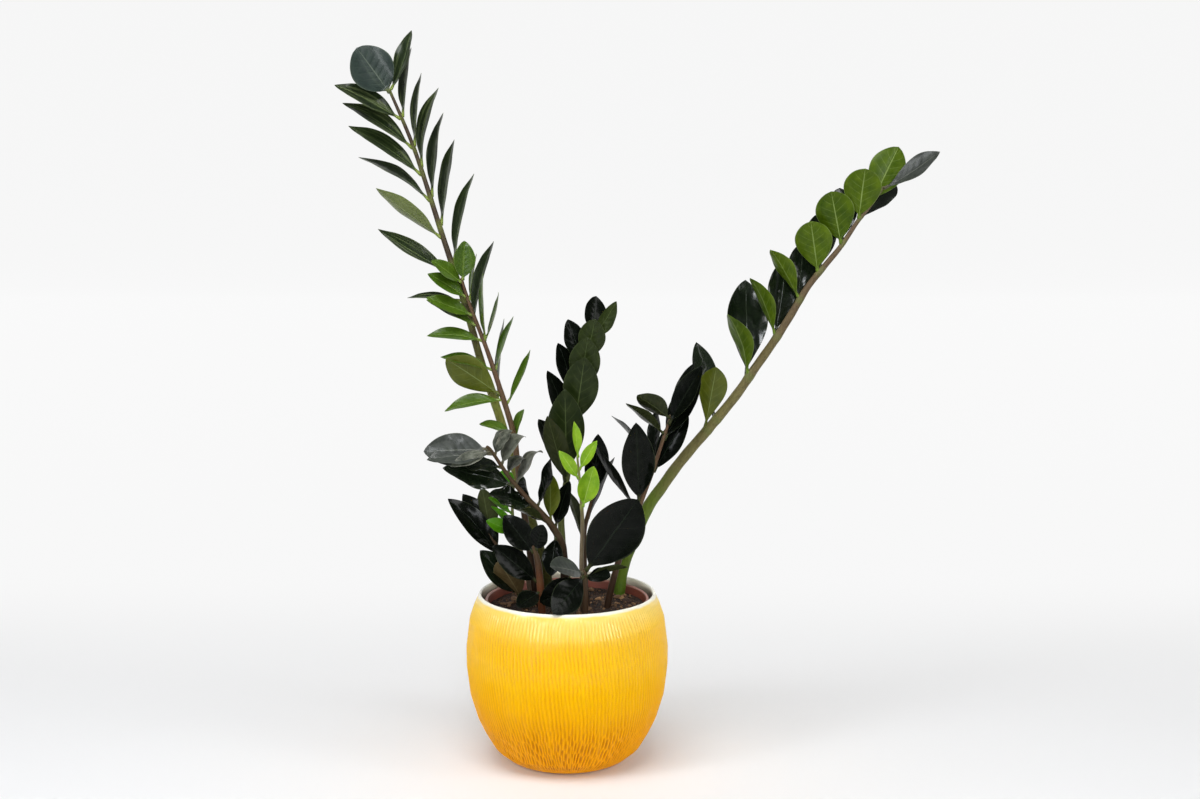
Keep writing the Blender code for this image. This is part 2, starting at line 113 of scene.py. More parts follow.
# A frond has its leaves' look, its stem's skin, whether its leaves are CAD nodes of their own,
# the stem's points (x, y, z, radius) and its leaves. A leaf has its name, the height where it
# leaves the stem, the way from there to its tip, its width, its roll about that way and its
# arch in degrees.
Frond = namedtuple("Frond", "look skin separate stem leaves")
Leaf = namedtuple("Leaf", "name height dx dy dz width roll arch")
FRONDS = {
    "left_tall": Frond("dusk", "dark", False, (
        (-12, 24, 135, 5.6), (-21, 23, 180, 5.4), (-35, 20, 236, 5), (-51, 17, 290, 4.6),
        (-66, 14, 343, 4.3), (-85, 10, 404, 3.9), (-100, 6, 461, 3.3), (-122, 3, 532, 2.7),
        (-148, 1, 615, 2), (-171, -2, 672, 1.4)), (
        ("l1", 669, -31, -8, 42, 43, 12, 10), ("t", 671, 22, 0, 57, 25, -50, -24),
        ("l2", 644, -64, -6, 32, 26, 50, 14), ("l3", 616, -68, -4, 43, 25, 54, 28),
        ("l4", 590, -71, -5, 47, 25, 54, 25), ("l5", 565, -70, -3, 42, 24, 70, 36),
        ("l6", 529, -64, -8, 48, 25, 132, 2), ("l7", 495, -75, 2, 42, 25, 60, -16),
        ("l8", 467, -56, 4, 2, 20, 78, 14), ("r0", 645, 10, 4, 67, 24, -62, 8),
        ("r1", 617, 8, 6, 71, 22, -68, 10), ("r2", 597, 18, 6, 77, 25, -60, 36),
        ("r3", 568, 13, 6, 82, 25, -60, 15), ("r4", 540, 15, 5, 84, 25, -61, 9),
        ("r5", 502, 22, 5, 89, 25, -63, 18), ("r6", 442, 22, 20, 82, 24, -60, 20),
        ("r7", 362, 9, 9, 85, 22, -75, 8))),
    "left_short": Frond("green", "brown", False, (
        (-27, -4, 135, 3.6), (-34, -5, 190, 3.5), (-42, -6, 250, 3.3), (-49, -5, 305, 3.1),
        (-53, -4, 335, 3), (-66, -4, 380, 2.6), (-79, -4, 420, 2.2), (-94, -4, 460, 1.8),
        (-103, -4, 489, 1.3)), (
        ("t", 487, 3, -2, 39, 22, 20, 8), ("l1", 485, -30, -5, 22, 20, 52, 12),
        ("l2", 471, -38, -6, 23, 20, 48, 12), ("r1", 467, 8, 4, 46, 16, -74, 8),
        ("l3", 453, -46, -8, 18, 20, 50, 10), ("l4", 443, -50, -1, 25, 20, 64, 10),
        ("r2", 427, 0, -4, 67, 20, -74, 8), ("l5", 428, -55, -7, 5, 20, 58, 34),
        ("r3", 428, 15, 5, 47, 16, -78, -24), ("l6", 399, -52, -6, 13, 20, 64, 20),
        ("r4", 398, 19, 6, 53, 20, -72, 10), ("l7", 374, -54, -12, 37, 34, 168, 12),
        ("l8", 369, -58, -7, -11, 22, 62, 30), ("r5", 364, 25, 5, 54, 18, -68, -20),
        ("l9", 337, -33, -5, 8, 18, 68, 16), ("r6", 331, 10, 1, 28, 16, -60, 30))),
    "front_droop": Frond("black", "umber", False, (
        (0, -21, 135, 4.6), (-1, -21, 175, 4.5), (-3, -22, 213, 4.2), (-6, -24, 230, 3.8),
        (-19, -30, 253, 3.1), (-38, -38, 276, 2.4), (-55, -45, 298, 2), (-71, -52, 324, 1.6),
        (-76, -55, 330, 1.4)), (
        ("l1", 328, -62, -12, -1, 33, 25, 14), ("l2", 323, -62, -20, -3, 26, 56, 16),
        ("l3", 326, -37, -22, -12, 14, 30, 20), ("l4", 309, -40, -8, 6, 24, 60, 14),
        ("l5", 290, -70, -12, 19, 30, 42, 16), ("l6", 268, -44, -6, 13, 28, 58, 16),
        ("l7", 252, -40, -4, 16, 26, 122, 10), ("l8", 236, -6, -14, -38, 22, 20, 10),
        ("r1", 321, 13, 5, 28, 20, -48, 14), ("r2", 311, 19, 3, 37, 22, -50, 12),
        ("r3", 302, 15, 10, 20, 20, -60, 14), ("r4", 291, 19, 3, 43, 22, -62, -26),
        ("r5", 274, -10, 13, 27, 20, -58, 12), ("r6", 266, 14, 5, 48, 20, -60, -24),
        ("r7", 250, 0, 4, 50, 22, 142, 10), ("r8", 243, 16, 9, 46, 22, -34, 12))),
    "middle_tall": Frond("black", "green", True, (
        (2, 20, 135, 4.2), (0, 20, 175, 4), (-5, 20, 215, 3.7), (-6, 22, 250, 3.4), (0, 24, 286, 3),
        (6, 26, 326, 2.6), (12, 27, 366, 2.2), (20, 28, 407, 1.8), (27, 28, 437, 1.4)), (
        ("front_1", 287, -2, -20, 91, 38, 176, 12), ("front_2", 340, 10, -21, 70, 36, 175, 10),
        ("front_3", 372, 8, -14, 57, 32, 172, 10), ("front_4", 404, 9, -12, 43, 28, 170, 10),
        ("front_5", 424, 26, -14, 41, 20, 140, 10), ("back_1", 281, -18, -32, 72, 25, 165, 10),
        ("back_2", 296, -31, 12, 47, 26, 45, 10), ("back_3", 332, -27, 9, 61, 26, 40, 10),
        ("back_4", 364, -21, 10, 57, 26, 35, 10), ("back_5", 396, -17, 9, 49, 26, 30, 10),
        ("back_6", 430, 4, 15, 38, 26, 28, 10))),
    "lime_shoot": Frond("lime", "lime", True, (
        (17, -26, 135, 2.8), (16, -28, 175, 2.6), (15, -30, 212, 2.3), (16, -31, 247, 2),
        (15, -31, 270, 1.7), (13, -31, 296, 1.3), (11, -31, 316, 1)), (
        ("1", 315, -3, 0, 36, 10, 30, 6), ("2", 294, -20, -7, 29, 13, 20, 10),
        ("3", 303, 18, -6, 30, 12, -20, 10), ("4", 266, 12, -9, 42, 21, 0, 8))),
    "centre_back": Frond("black", "umber", True, (
        (22, 3, 135, 3.2), (18, 4, 185, 3), (17, 5, 228, 2.6), (21, 5, 250, 2), (27, 5, 272, 1.4)), (
        ("1", 226, -15, -5, 50, 18, 130, 8), ("2", 270, 5, -8, 64, 26, 20, 10),
        ("3", 246, 28, 18, 60, 24, -72, 8))),
    "right_middle": Frond("black", "brown", True, (
        (38, -4, 135, 3.6), (43, -4, 170, 3.4), (56, -4, 218, 3), (73, -4, 262, 2.6), (86, -4, 297, 2.1),
        (97, -3, 331, 1.7), (104, -2, 353, 1.3)), (
        ("1", 264, -5, -16, 84, 34, 10, 8), ("2", 259, -45, -12, 68, 24, 74, -16),
        ("3", 296, 36, 5, 56, 26, -32, 10), ("4", 303, -43, 3, 49, 22, 80, 8),
        ("5", 306, 1, 36, 49, 18, -45, 8), ("6", 328, 38, 14, 60, 26, -34, 8),
        ("7", 334, -39, -8, 32, 24, 120, 8), ("8", 344, 33, -19, 61, 24, -34, 8),
        ("9", 350, -33, -14, 25, 25, 146, 14), ("10", 352, 24, 0, 54, 18, -58, 10))),
    "right_tall": Frond("black", "fresh", True, (
        (50, 38, 135, 5.6), (54, 41, 165, 5.8), (58, 42, 190, 6.2), (69, 40, 221, 6.4), (83, 38, 252, 6.2),
        (97, 35, 273, 5.8), (111, 32, 294, 5.5), (127, 29, 315, 5.3), (144, 25, 336, 5.1),
        (170, 21, 369, 4.8), (188, 18, 396, 4.5), (206, 15, 423, 4.2), (223, 12, 451, 3.8),
        (239, 10, 479, 3.3), (256, 8, 501, 2.9), (271, 6, 520, 2.5), (287, 4, 545, 2.1), (300, 3, 562, 1.7),
        (311, 2, 578, 1.3)), (
        ("front_1", 334, 7, -18, 66, 29, 172, 12), ("front_2", 390, -25, -28, 64, 30, 128, 38),
        ("front_3", 430, -29, -12, 59, 26, 124, 26), ("front_4", 468, -32, -12, 49, 26, 126, 16),
        ("front_5", 494, -11, -14, 51, 37, 168, 10), ("front_6", 522, -14, -14, 52, 38, 170, 10),
        ("front_7", 547, 2, -16, 49, 37, 174, 10), ("front_8", 564, 25, 8, 53, 36, 178, 10),
        ("tip", 577, 50, -24, 35, 24, -48, -16), ("back_1", 345, -20, 20, 76, 28, 30, 10),
        ("back_2", 388, -2, 30, 96, 43, 16, 10), ("back_3", 430, 9, 16, 77, 36, 20, 10),
        ("back_4", 466, 5, 16, 56, 32, 16, 10), ("back_5", 497, -1, 15, 55, 32, 15, 10),
        ("back_6", 524, -3, 13, 53, 32, 15, 10), ("back_7", 548, 38, 24, 32, 28, -45, 8))),
    "left_low": Frond("black", "umber", False, (
        (-36, -9, 135, 3.6), (-46, -9, 172, 3.3), (-60, -9, 205, 2.6), (-79, -9, 235, 1.5)), (
        ("1", 209, -53, -5, 66, 25, 30, 8), ("2", 216, -38, 12, 56, 28, 30, 10),
        ("3", 232, -8, 9, 47, 24, 160, 8), ("4", 172, -40, -14, 48, 28, 30, 12),
        ("5", 170, -22, -26, 42, 29, 165, 14))),
    "left_upright": Frond("black", "russet", False, (
        (-23, -31, 135, 3.8), (-25, -31, 172, 3.6), (-28, -31, 208, 3.4), (-33, -31, 226, 1.6)), (
        ("1", 220, -30, -4, 38, 27, 18, 10), ("2", 190, -46, -6, 38, 27, 30, 10),
        ("3", 180, -22, -28, -8, 20, 40, 10), ("4", 222, 9, -6, 27, 20, -24, 8))),
    "lime_left": Frond("grass", "lime", False, (
        (-33, 9, 135, 2.4), (-41, 5, 190, 2.2), (-51, -11, 236, 1.9), (-54, -14, 258, 1.5),
        (-52, -15, 286, 1)), (
        ("1", 256, -23, -11, 18, 14, 60, 8), ("2", 238, -24, 3, 24, 12, 65, 8),
        ("3", 236, -29, -6, 13, 15, 25, 8), ("4", 285, -13, -2, 14, 13, 20, 8))),
    "front_low": Frond("black", "umber", False, (
        (18, -47, 135, 3.2), (19, -47, 175, 3), (18, -47, 206, 2)), (
        ("1", 205, 52, -8, 73, 54, 10, 8), ("2", 203, -33, -18, 11, 30, 70, 14),
        ("3", 200, 25, -12, 2, 22, -64, 12), ("4", 198, 42, 8, 9, 24, -118, 10),
        ("5", 200, -30, -45, -26, 31, 4, 14), ("6", 196, -44, 0, -23, 28, 6, 10))),
}


def numbered(start, first, last):
    return [f"{start}{number}" for number in range(first, last + 1)]


# Leaves whose look differs from the rest of their frond.
LEAF_LOOKS = {
    "slate": ["left_tall_l1"],
    "olive": ["left_short_l7", "front_droop_r7", "right_tall_front_1"],
    "ash": ["front_droop_l1", "front_droop_l2", "front_low_2", "right_tall_tip"],
    "dry": ["front_droop_l3", *numbered("front_droop_r", 1, 4)],
    "gloss": ["left_low_4", "right_middle_4", *numbered("front_droop_l", 4, 6),
              *numbered("right_tall_back_", 1, 7)],
    "bronze": ["left_low_5"],
    "fresh": numbered("right_tall_front_", 2, 8),
    "bottle": numbered("middle_tall_front_", 1, 5),
}
LOOK_OF_LEAF = {leaf: look for look, leaves in LEAF_LOOKS.items() for leaf in leaves}

# Form of a blade: fold along the midrib, camber of each half, waves of the edge, twist in
# degrees, curl of the tip in degrees, quilting between side veins and dents in millimetres,
# and how far out it is widest.
PLAIN_FORM = dict(fold=0.22, camber=0.05, wave=0.05, twist=9, curl=0, quilt=0.2, dent=0.45, heavy=1.0)
FORMS = {
    "left_tall": dict(fold=0.3, quilt=0.06, dent=0.3, heavy=1.02),
    "left_short": dict(fold=0.28, quilt=0.06, dent=0.4, heavy=0.95),
    "front_droop": dict(fold=0.15, wave=0.14, twist=22, quilt=0.2, dent=0.7),
    "right_tall": dict(fold=0.24, quilt=0.12, dent=0.7, heavy=1.25),
    "lime_shoot": dict(fold=0.45, camber=0.09, quilt=0.12, dent=0.3),
    "lime_left": dict(fold=0.42, camber=0.08, quilt=0.12, dent=0.3),
}
LEAF_FORMS = {
    "left_tall_l1": dict(fold=0.08, dent=0.2),
    "left_short_l7": dict(heavy=1.25, fold=0.1),
    "right_tall_front_1": dict(heavy=1.5),
    "right_middle_1": dict(fold=0.28, camber=0.1, dent=1.5, quilt=0.3),
    "right_middle_6": dict(fold=0.26, quilt=0.3),
    "right_middle_8": dict(fold=0.26, quilt=0.3),
    "left_upright_2": dict(dent=0.3, fold=0.15),
    "left_low_4": dict(dent=1.2),
    "front_droop_l4": dict(dent=1.8, wave=0.2),
    "front_droop_l5": dict(dent=2.0, wave=0.2),
    "front_droop_l6": dict(dent=2.0, wave=0.2),
    "front_low_1": dict(heavy=1.15, dent=1.1, fold=0.18, camber=0.1),
    "front_low_5": dict(heavy=1.15, fold=0.1, dent=0.3),
    "front_droop_r1": dict(curl=60, twist=40),
    "front_droop_r2": dict(curl=95, twist=50),
    "front_droop_r3": dict(curl=80, twist=45),
    "front_droop_r4": dict(curl=100, twist=40),
    "left_low_1": dict(curl=45),
    "right_tall_back_2": dict(dent=1.5),
    "right_tall_back_3": dict(dent=1.5),
    "right_tall_back_4": dict(dent=1.4),
}

# Looks of a leaf: the upper face's dark and light, the underside's dark and light, the midrib on
# the upper face and on the underside, the margin, the leaf's foot, the roughness, how strongly
# the skin and its wax coat reflect, pale streaks along the blade, which are partly veins and
# partly painted highlights, and the contrast of the mottling. Colours are linear and in
# thousandths, here and in the skins.
Look = namedtuple("Look", "dark light under_dark under_light rib under_rib margin petiole "
                          "roughness shine coat streak mottle",
                  defaults=(0.36, 0.25, 0.05, 0.1, 1.8))
LOOKS = {
    "black": Look(
        (0.8, 1.4, 0.9), (4.2, 6, 3.4), (20, 26, 8), (48, 56, 20), (12, 18, 10), (90, 110, 40),
        (35, 45, 22), (50, 55, 20),
        roughness=0.2, shine=0.09, streak=0.06, mottle=1.6),
    "gloss": Look(
        (2, 4.5, 2), (11, 18, 8), (20, 26, 8), (48, 56, 20), (20, 30, 14), (90, 110, 40), (45, 55, 26),
        (50, 55, 20),
        roughness=0.16, shine=0.42, coat=0.2, streak=0.12),
    "dusk": Look(
        (6, 13, 3), (22, 38, 11), (110, 145, 30), (170, 205, 65), (120, 170, 50), (260, 320, 120),
        (160, 200, 80), (230, 300, 50),
        roughness=0.27, shine=0.34, coat=0.1, streak=0.65),
    "slate": Look(
        (12, 24, 19), (36, 56, 43), (60, 75, 40), (100, 115, 70), (130, 160, 120), (200, 230, 150),
        (90, 120, 80), (120, 140, 50),
        shine=0.3, coat=0.1, streak=0.2, mottle=2.0),
    "ash": Look(
        (17, 21, 17), (62, 69, 60), (60, 70, 45), (120, 130, 90), (140, 150, 120), (200, 210, 150),
        (100, 110, 80), (90, 80, 40),
        roughness=0.34, shine=0.34, coat=0.12, streak=0.25, mottle=2.2),
    "green": Look(
        (30, 75, 2), (75, 140, 7), (100, 130, 15), (160, 195, 40), (200, 300, 50), (270, 340, 100),
        (170, 250, 40), (200, 270, 50),
        roughness=0.3, shine=0.34, coat=0.1, streak=0.22, mottle=1.6),
    "fresh": Look(
        (6, 11, 6), (16, 26, 14), (33, 68, 0.6), (105, 165, 5), (50, 80, 30), (240, 320, 90),
        (160, 220, 60), (150, 230, 30),
        shine=0.16, coat=0.03, streak=0.12, mottle=2.0),
    "bottle": Look(
        (4, 7, 4), (13, 19, 9), (9.5, 18, 2), (33, 47, 9.5), (30, 45, 20), (80, 110, 35), (60, 80, 30),
        (60, 80, 25),
        roughness=0.38, shine=0.2, mottle=1.9),
    "olive": Look(
        (6, 11, 6), (16, 26, 14), (50, 66, 2), (110, 130, 9), (40, 60, 30), (200, 250, 70), (120, 150, 30),
        (110, 130, 25),
        roughness=0.34, shine=0.28, streak=0.15),
    "bronze": Look(
        (6, 9, 5), (16, 21, 11), (65, 43, 13), (150, 108, 48), (40, 50, 30), (220, 180, 90), (120, 110, 50),
        (80, 70, 25),
        streak=0.15),
    "dry": Look(
        (14, 18, 10), (145, 154, 118), (22, 25, 15), (185, 190, 148), (110, 110, 80), (170, 160, 120),
        (260, 250, 190), (80, 70, 35),
        roughness=0.42, shine=0.3, streak=0.75, mottle=4.0),
    "grass": Look(
        (48, 205, 1.2), (120, 335, 6), (80, 250, 3), (170, 390, 15), (200, 420, 50), (300, 450, 100),
        (200, 400, 50), (180, 330, 50)),
    "lime": Look(
        (130, 290, 3), (350, 540, 25), (190, 370, 8), (370, 560, 35), (460, 620, 140), (480, 620, 160),
        (420, 580, 100), (250, 400, 50)),
}

# Skin of a stem: colours at the soil, a little above it, in the middle and at the tip, how
# much brown speckle it has, and the colour of the swellings where leaves join it. The dark
# foot and low colours are partly painted shade, where the stems stand in shadow near the soil.
Skin = namedtuple("Skin", "foot low middle tip speckle joint")
SKINS = {
    "fresh": Skin((60, 115, 8), (115, 175, 18), (170, 150, 55), (130, 90, 50), 0.3, (150, 190, 50)),
    "green": Skin((40, 45, 15), (110, 135, 35), (100, 110, 35), (60, 55, 28), 0.5, (110, 130, 40)),
    "dark": Skin((12, 11, 6), (60, 62, 14), (215, 225, 45), (70, 50, 34), 0.6, (220, 280, 55)),
    "brown": Skin((18, 9, 6), (38, 20, 11), (110, 66, 36), (120, 68, 40), 0.6, (100, 75, 32)),
    "umber": Skin((14, 7, 5), (30, 16, 9), (52, 30, 15), (70, 40, 21), 0.6, (80, 60, 28)),
    "russet": Skin((22, 8, 5), (80, 26, 11), (140, 44, 17), (70, 40, 21), 0.5, (90, 60, 28)),
    "lime": Skin((40, 30, 18), (130, 92, 60), (180, 140, 85), (200, 190, 75), 0.25, (230, 330, 50)),
}


# Small helpers ----


def seeded(name):
    """A random source that belongs to a name, so each piece is the same every run."""
    return random.Random(zlib.crc32(name.encode()))


def link_object(name, data, matrix=Matrix()):
    item = bpy.data.objects.new(name, data)
    item.matrix_world = matrix
    bpy.context.scene.collection.objects.link(item)
    return item


def stand_in(piece, node):
    """The piece rides on the one body and stands for a CAD node, which is hidden."""
    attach(piece, "root")
    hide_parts(node)


def mesh_from(name, points, faces, materials, face_materials=None, smooth=True):
    """A mesh from points and faces, with its materials."""
    mesh = bpy.data.meshes.new(name)
    mesh.from_pydata([tuple(p) for p in points], [], [tuple(f) for f in faces])
    for material in materials:
        mesh.materials.append(material)
    if face_materials is not None:
        mesh.polygons.foreach_set("material_index", np.asarray(face_materials, dtype=np.int32))
    mesh.polygons.foreach_set("use_smooth", np.full(len(faces), smooth))
    mesh.update()
    return mesh


def rough(x, y, z):
    """Smooth random hills, from about -1 to 1, that are the same every run."""
    return noise.noise(Vector((x, y, z)))


def face_outward(mesh, merge=0.0):
    """Turns all faces outward, after joining points closer together than merge."""
    work = bmesh.new()
    work.from_mesh(mesh)
    if merge:
        bmesh.ops.remove_doubles(work, verts=work.verts, dist=merge)
    bmesh.ops.recalc_face_normals(work, faces=work.faces)
    work.to_mesh(mesh)
    work.free()


def add_float(mesh, name, values):
    """A number for each point, which the materials read by name."""
    layer = mesh.attributes.new(name, "FLOAT", "POINT")
    layer.data.foreach_set("value", np.asarray(values, dtype=np.float32))


def add_map(mesh, across, along):
    """The piece's own map: u across it and v along it, from a value for each point."""
    layer = mesh.uv_layers.new(name="grain")
    corners = np.empty(len(mesh.loops), dtype=np.int32)
    mesh.loops.foreach_get("vertex_index", corners)
    flat = np.stack([np.asarray(across)[corners], np.asarray(along)[corners]], 1)
    layer.data.foreach_set("uv", flat.astype(np.float32).ravel())


def ring_points(radius, z, sides):
    """Points in metres round a circle about the Z axis, from millimetres."""
    angles = [2 * pi * i / sides for i in range(sides)]
    return [(radius * MM * cos(a), radius * MM * sin(a), z * MM) for a in angles]


def ring_faces(rings, sides, start=0):
    """Quads between neighbouring rings of points, whose first point is number start."""
    faces = []
    for r in range(rings - 1):
        low, high = start + r * sides, start + (r + 1) * sides
        for i in range(sides):
            j = (i + 1) % sides
            faces.append((low + i, low + j, high + j, high + i))
    return faces


def closed_faces(rings, sides):
    """Faces of a solid of rings whose first and last points are the middles of its ends."""
    end = 1 + (rings - 1) * sides
    first = [(0, 1 + (i + 1) % sides, 1 + i) for i in range(sides)]
    last = [(end + i, end + (i + 1) % sides, end + sides) for i in range(sides)]
    return first + ring_faces(rings, sides, 1) + last


def smooth_profile(points, count, crowd=0.0):
    """Points on a smooth curve through a profile, closer together at its ends with crowd."""
    pts = np.asarray(points, float)
    step = np.hypot(*np.diff(pts, axis=0).T)
    at = np.concatenate([[0], np.cumsum(step)])
    dense = np.linspace(0, at[-1], count * 8)
    rough = np.stack([np.interp(dense, at, pts[:, k]) for k in (0, 1)], 1)
    width = 9
    pad = np.concatenate([np.repeat(rough[:1], width, 0), rough, np.repeat(rough[-1:], width, 0)])
    kernel = np.hanning(2 * width + 1)
    kernel /= kernel.sum()
    soft = np.stack([np.convolve(pad[:, k], kernel, "valid") for k in (0, 1)], 1)
    soft[0], soft[-1] = rough[0], rough[-1]
    even = np.linspace(0, 1, count)
    even -= crowd * np.sin(2 * np.pi * even) / (2 * np.pi)
    return soft[(even * (len(soft) - 1)).round().astype(int)]


# Materials ----


class Nodes:
    """A material under construction, with one short call for each kind of node."""

    def __init__(self, name, roughness=0.5):
        self.material = bpy.data.materials.new(name)
        self.material.use_nodes = True
        self.tree = self.material.node_tree
        self.shader = self.tree.nodes["Principled BSDF"]
        self.shader.inputs["Roughness"].default_value = roughness

    def _put(self, socket, value):
        if isinstance(value, bpy.types.NodeSocket):
            self.tree.links.new(value, socket)
        elif isinstance(value, tuple) and len(value) == 3 and len(socket.default_value) == 4:
            socket.default_value = (*value, 1.0)
        else:
            socket.default_value = value

    def _new(self, kind, sockets=(), **settings):
        """A new node's outputs, once its settings and its sockets' values or links are set."""
        node = self.tree.nodes.new("ShaderNode" + kind)
        for key, value in settings.items():
            setattr(node, key, value)
        for key, value in dict(sockets).items():
            self._put(node.inputs[key], value)
        return node.outputs

    def math(self, operation, a, b=0.0, c=0.0, clamp=False):
        sockets = enumerate((a, b, c))
        return self._new("Math", sockets, operation=operation, use_clamp=clamp)[0]

    def times(self, a, b):
        return self.math("MULTIPLY", a, b)

    def scaled(self, value, factor, offset, clamp=False):
        """The value times a factor, plus an offset."""
        return self.math("MULTIPLY_ADD", value, factor, offset, clamp)

    def steps(self, value, low, high, to_low=0.0, to_high=1.0):
        """Runs smoothly from to_low to to_high as the value goes from low to high."""
        sockets = enumerate((value, low, high, to_low, to_high))
        return self._new("MapRange", sockets, interpolation_type="SMOOTHSTEP")[0]

    def mix(self, share, a, b):
        """Colour a turned towards colour b by a share."""
        return self._new("Mix", {0: share, 6: a, 7: b}, data_type="RGBA")[2]

    def tint(self, colour, other, share, most):
        """Moves a colour towards another one, by a share times most."""
        return self.mix(self.times(share, most), colour, other)

    def noise(self, scale, detail=3, roughness=0.6, stretch=None, where="object", warp=0.0):
        sockets = {"Scale": scale, "Detail": detail, "Roughness": roughness, "Distortion": warp,
                   "Vector": self.place(where, stretch)}
        if where == "object":
            return self._new("TexNoise", sockets)["Fac"]
        sockets["W"] = self.number("shift")
        return self._new("TexNoise", sockets, noise_dimensions="4D")["Fac"]

    def place(self, where="object", stretch=None):
        """A point's place in the object, or on the piece's own map of that name."""
        if where == "object":
            spot = self._new("TexCoord")["Object"]
        else:
            spot = self._new("UVMap", uv_map=where)[0]
        if stretch is None:
            return spot
        return self._new("Mapping", {"Vector": spot, "Scale": stretch})[0]

    def split(self, vector):
        return self._new("SeparateXYZ", {0: vector})

    def number(self, name):
        return self._new("Attribute", attribute_name=name)["Fac"]

    def bump(self, height, strength, distance):
        sockets = {"Strength": strength, "Distance": distance, "Height": height}
        return self._new("Bump", sockets)[0]

    def finish(self, **values):
        """The material, once the shader's sockets such as base_color are set or linked."""
        for key, value in values.items():
            label = key.replace("_", " ").title().replace("Ior", "IOR")
            self._put(self.shader.inputs[label], value)
        return self.material


def shade(thousandths):
    return tuple(value / 1000 for value in thousandths)


def leaf_material(look_name, side):
    """Waxy leaf skin: mottled green, a midrib, faint side veins, a pale margin, a paler foot, and pale
    streaks that are partly veins and partly painted highlights.
    """
    look = LOOKS[look_name]
    upper = side == "upper"
    if upper:
        dark, light, rib_colour = shade(look.dark), shade(look.light), shade(look.rib)
    else:
        dark, light, rib_colour = map(shade, (look.under_dark, look.under_light, look.under_rib))
    n = Nodes(f"leaf_{look_name}_{side}", look.roughness)
    u, v = n.split(n.place("grain"))[:2]
    across = n.math("ABSOLUTE", n.scaled(u, 2.0, -1.0))
    clouds = n.noise(70, 4)
    grain = n.noise(900)
    share = n.scaled(clouds, look.mottle, 0.42 - 0.5 * look.mottle)
    share = n.math("ADD", share, n.number("tone"), clamp=True)
    share = n.scaled(grain, 0.25, n.scaled(share, 1.0, -0.12), True)
    colour = n.mix(share, dark, light)
    # pale streaks along the blade in the margin colour: partly veins, partly painted highlights
    streaks = n.steps(n.noise(7, 4, 0.6, (1.0, 0.16, 1.0), "grain", 0.3), 0.5, 0.7)
    colour = n.tint(colour, shade(look.margin), streaks, look.streak)
    # side veins leave the midrib and sweep towards the tip
    sweep = n.scaled(across, -0.2, v)
    wave = n.math("PINGPONG", n.times(sweep, 15.0), 1.0)
    fade = n.steps(across, 0.95, 0.35)
    vein = n.times(n.steps(wave, 0.86, 1.0), fade)
    colour = n.tint(colour, rib_colour, vein, 0.12 if upper else 0.3)
    rib_width = n.scaled(v, -0.035, 0.06)
    rib = n.math("SUBTRACT", 1.0, n.math("DIVIDE", across, rib_width), clamp=True)
    rib = n.math("POWER", rib, 0.6)
    colour = n.tint(colour, rib_colour, rib, 0.75 if upper else 0.95)
    colour = n.tint(colour, shade(look.margin), n.steps(across, 0.93, 0.995), 0.75)
    colour = n.tint(colour, shade(look.petiole), n.steps(v, 0.13, 0.05), 0.85)
    quilt = n.times(n.steps(wave, 0.2, 1.0), fade)
    height = n.scaled(grain, 0.12, n.times(quilt, -0.35))
    height = n.scaled(rib, -1.0 if upper else 1.2, height)
    roughness = n.scaled(clouds, 0.14, look.roughness - 0.05)
    return n.finish(base_color=colour, roughness=roughness, normal=n.bump(height, 0.35, 0.0006),
                    specular_ior_level=look.shine, coat_weight=look.coat if upper else 0.02,
                    coat_roughness=0.1)


def stem_material(skin_name):
    """Stem skin: its colours from the soil up, darkened near the soil with painted shade, with lengthwise
    streaks and speckles.
    """
    skin = SKINS[skin_name]
    n = Nodes(f"stem_{skin_name}", 0.42)
    v = n.split(n.place("grain"))[1]
    streaks = n.noise(60, 4, 0.6, (8.0, 8.0, 0.8))
    blotches = n.noise(45)
    rise = n.math("ADD", v, n.scaled(blotches, 0.24, -0.12), clamp=True)
    # painted shade: the dark foot and low colours near the soil stand for the shadow there
    colour = n.mix(n.steps(rise, 0.02, 0.14), shade(skin.foot), shade(skin.low))
    colour = n.mix(n.steps(rise, 0.16, 0.4), colour, shade(skin.middle))
    colour = n.mix(n.steps(rise, 0.42, 0.75), colour, shade(skin.tip))
    dark = n.mix(0.65, colour, (0.03, 0.018, 0.01))
    colour = n.tint(colour, dark, n.steps(streaks, 0.5, 0.72), 0.55)
    dots = n.noise(420, 2, 0.5)
    colour = n.tint(colour, (0.045, 0.022, 0.012), n.steps(dots, 0.6, 0.68), skin.speckle)
    colour = n.tint(colour, shade(skin.joint), n.number("joint"), 0.8)
    height = n.math("ADD", streaks, n.times(dots, 0.4))
    return n.finish(base_color=colour, normal=n.bump(height, 0.3, 0.0008),
                    coat_weight=0.02, coat_roughness=0.25, specular_ior_level=0.15)


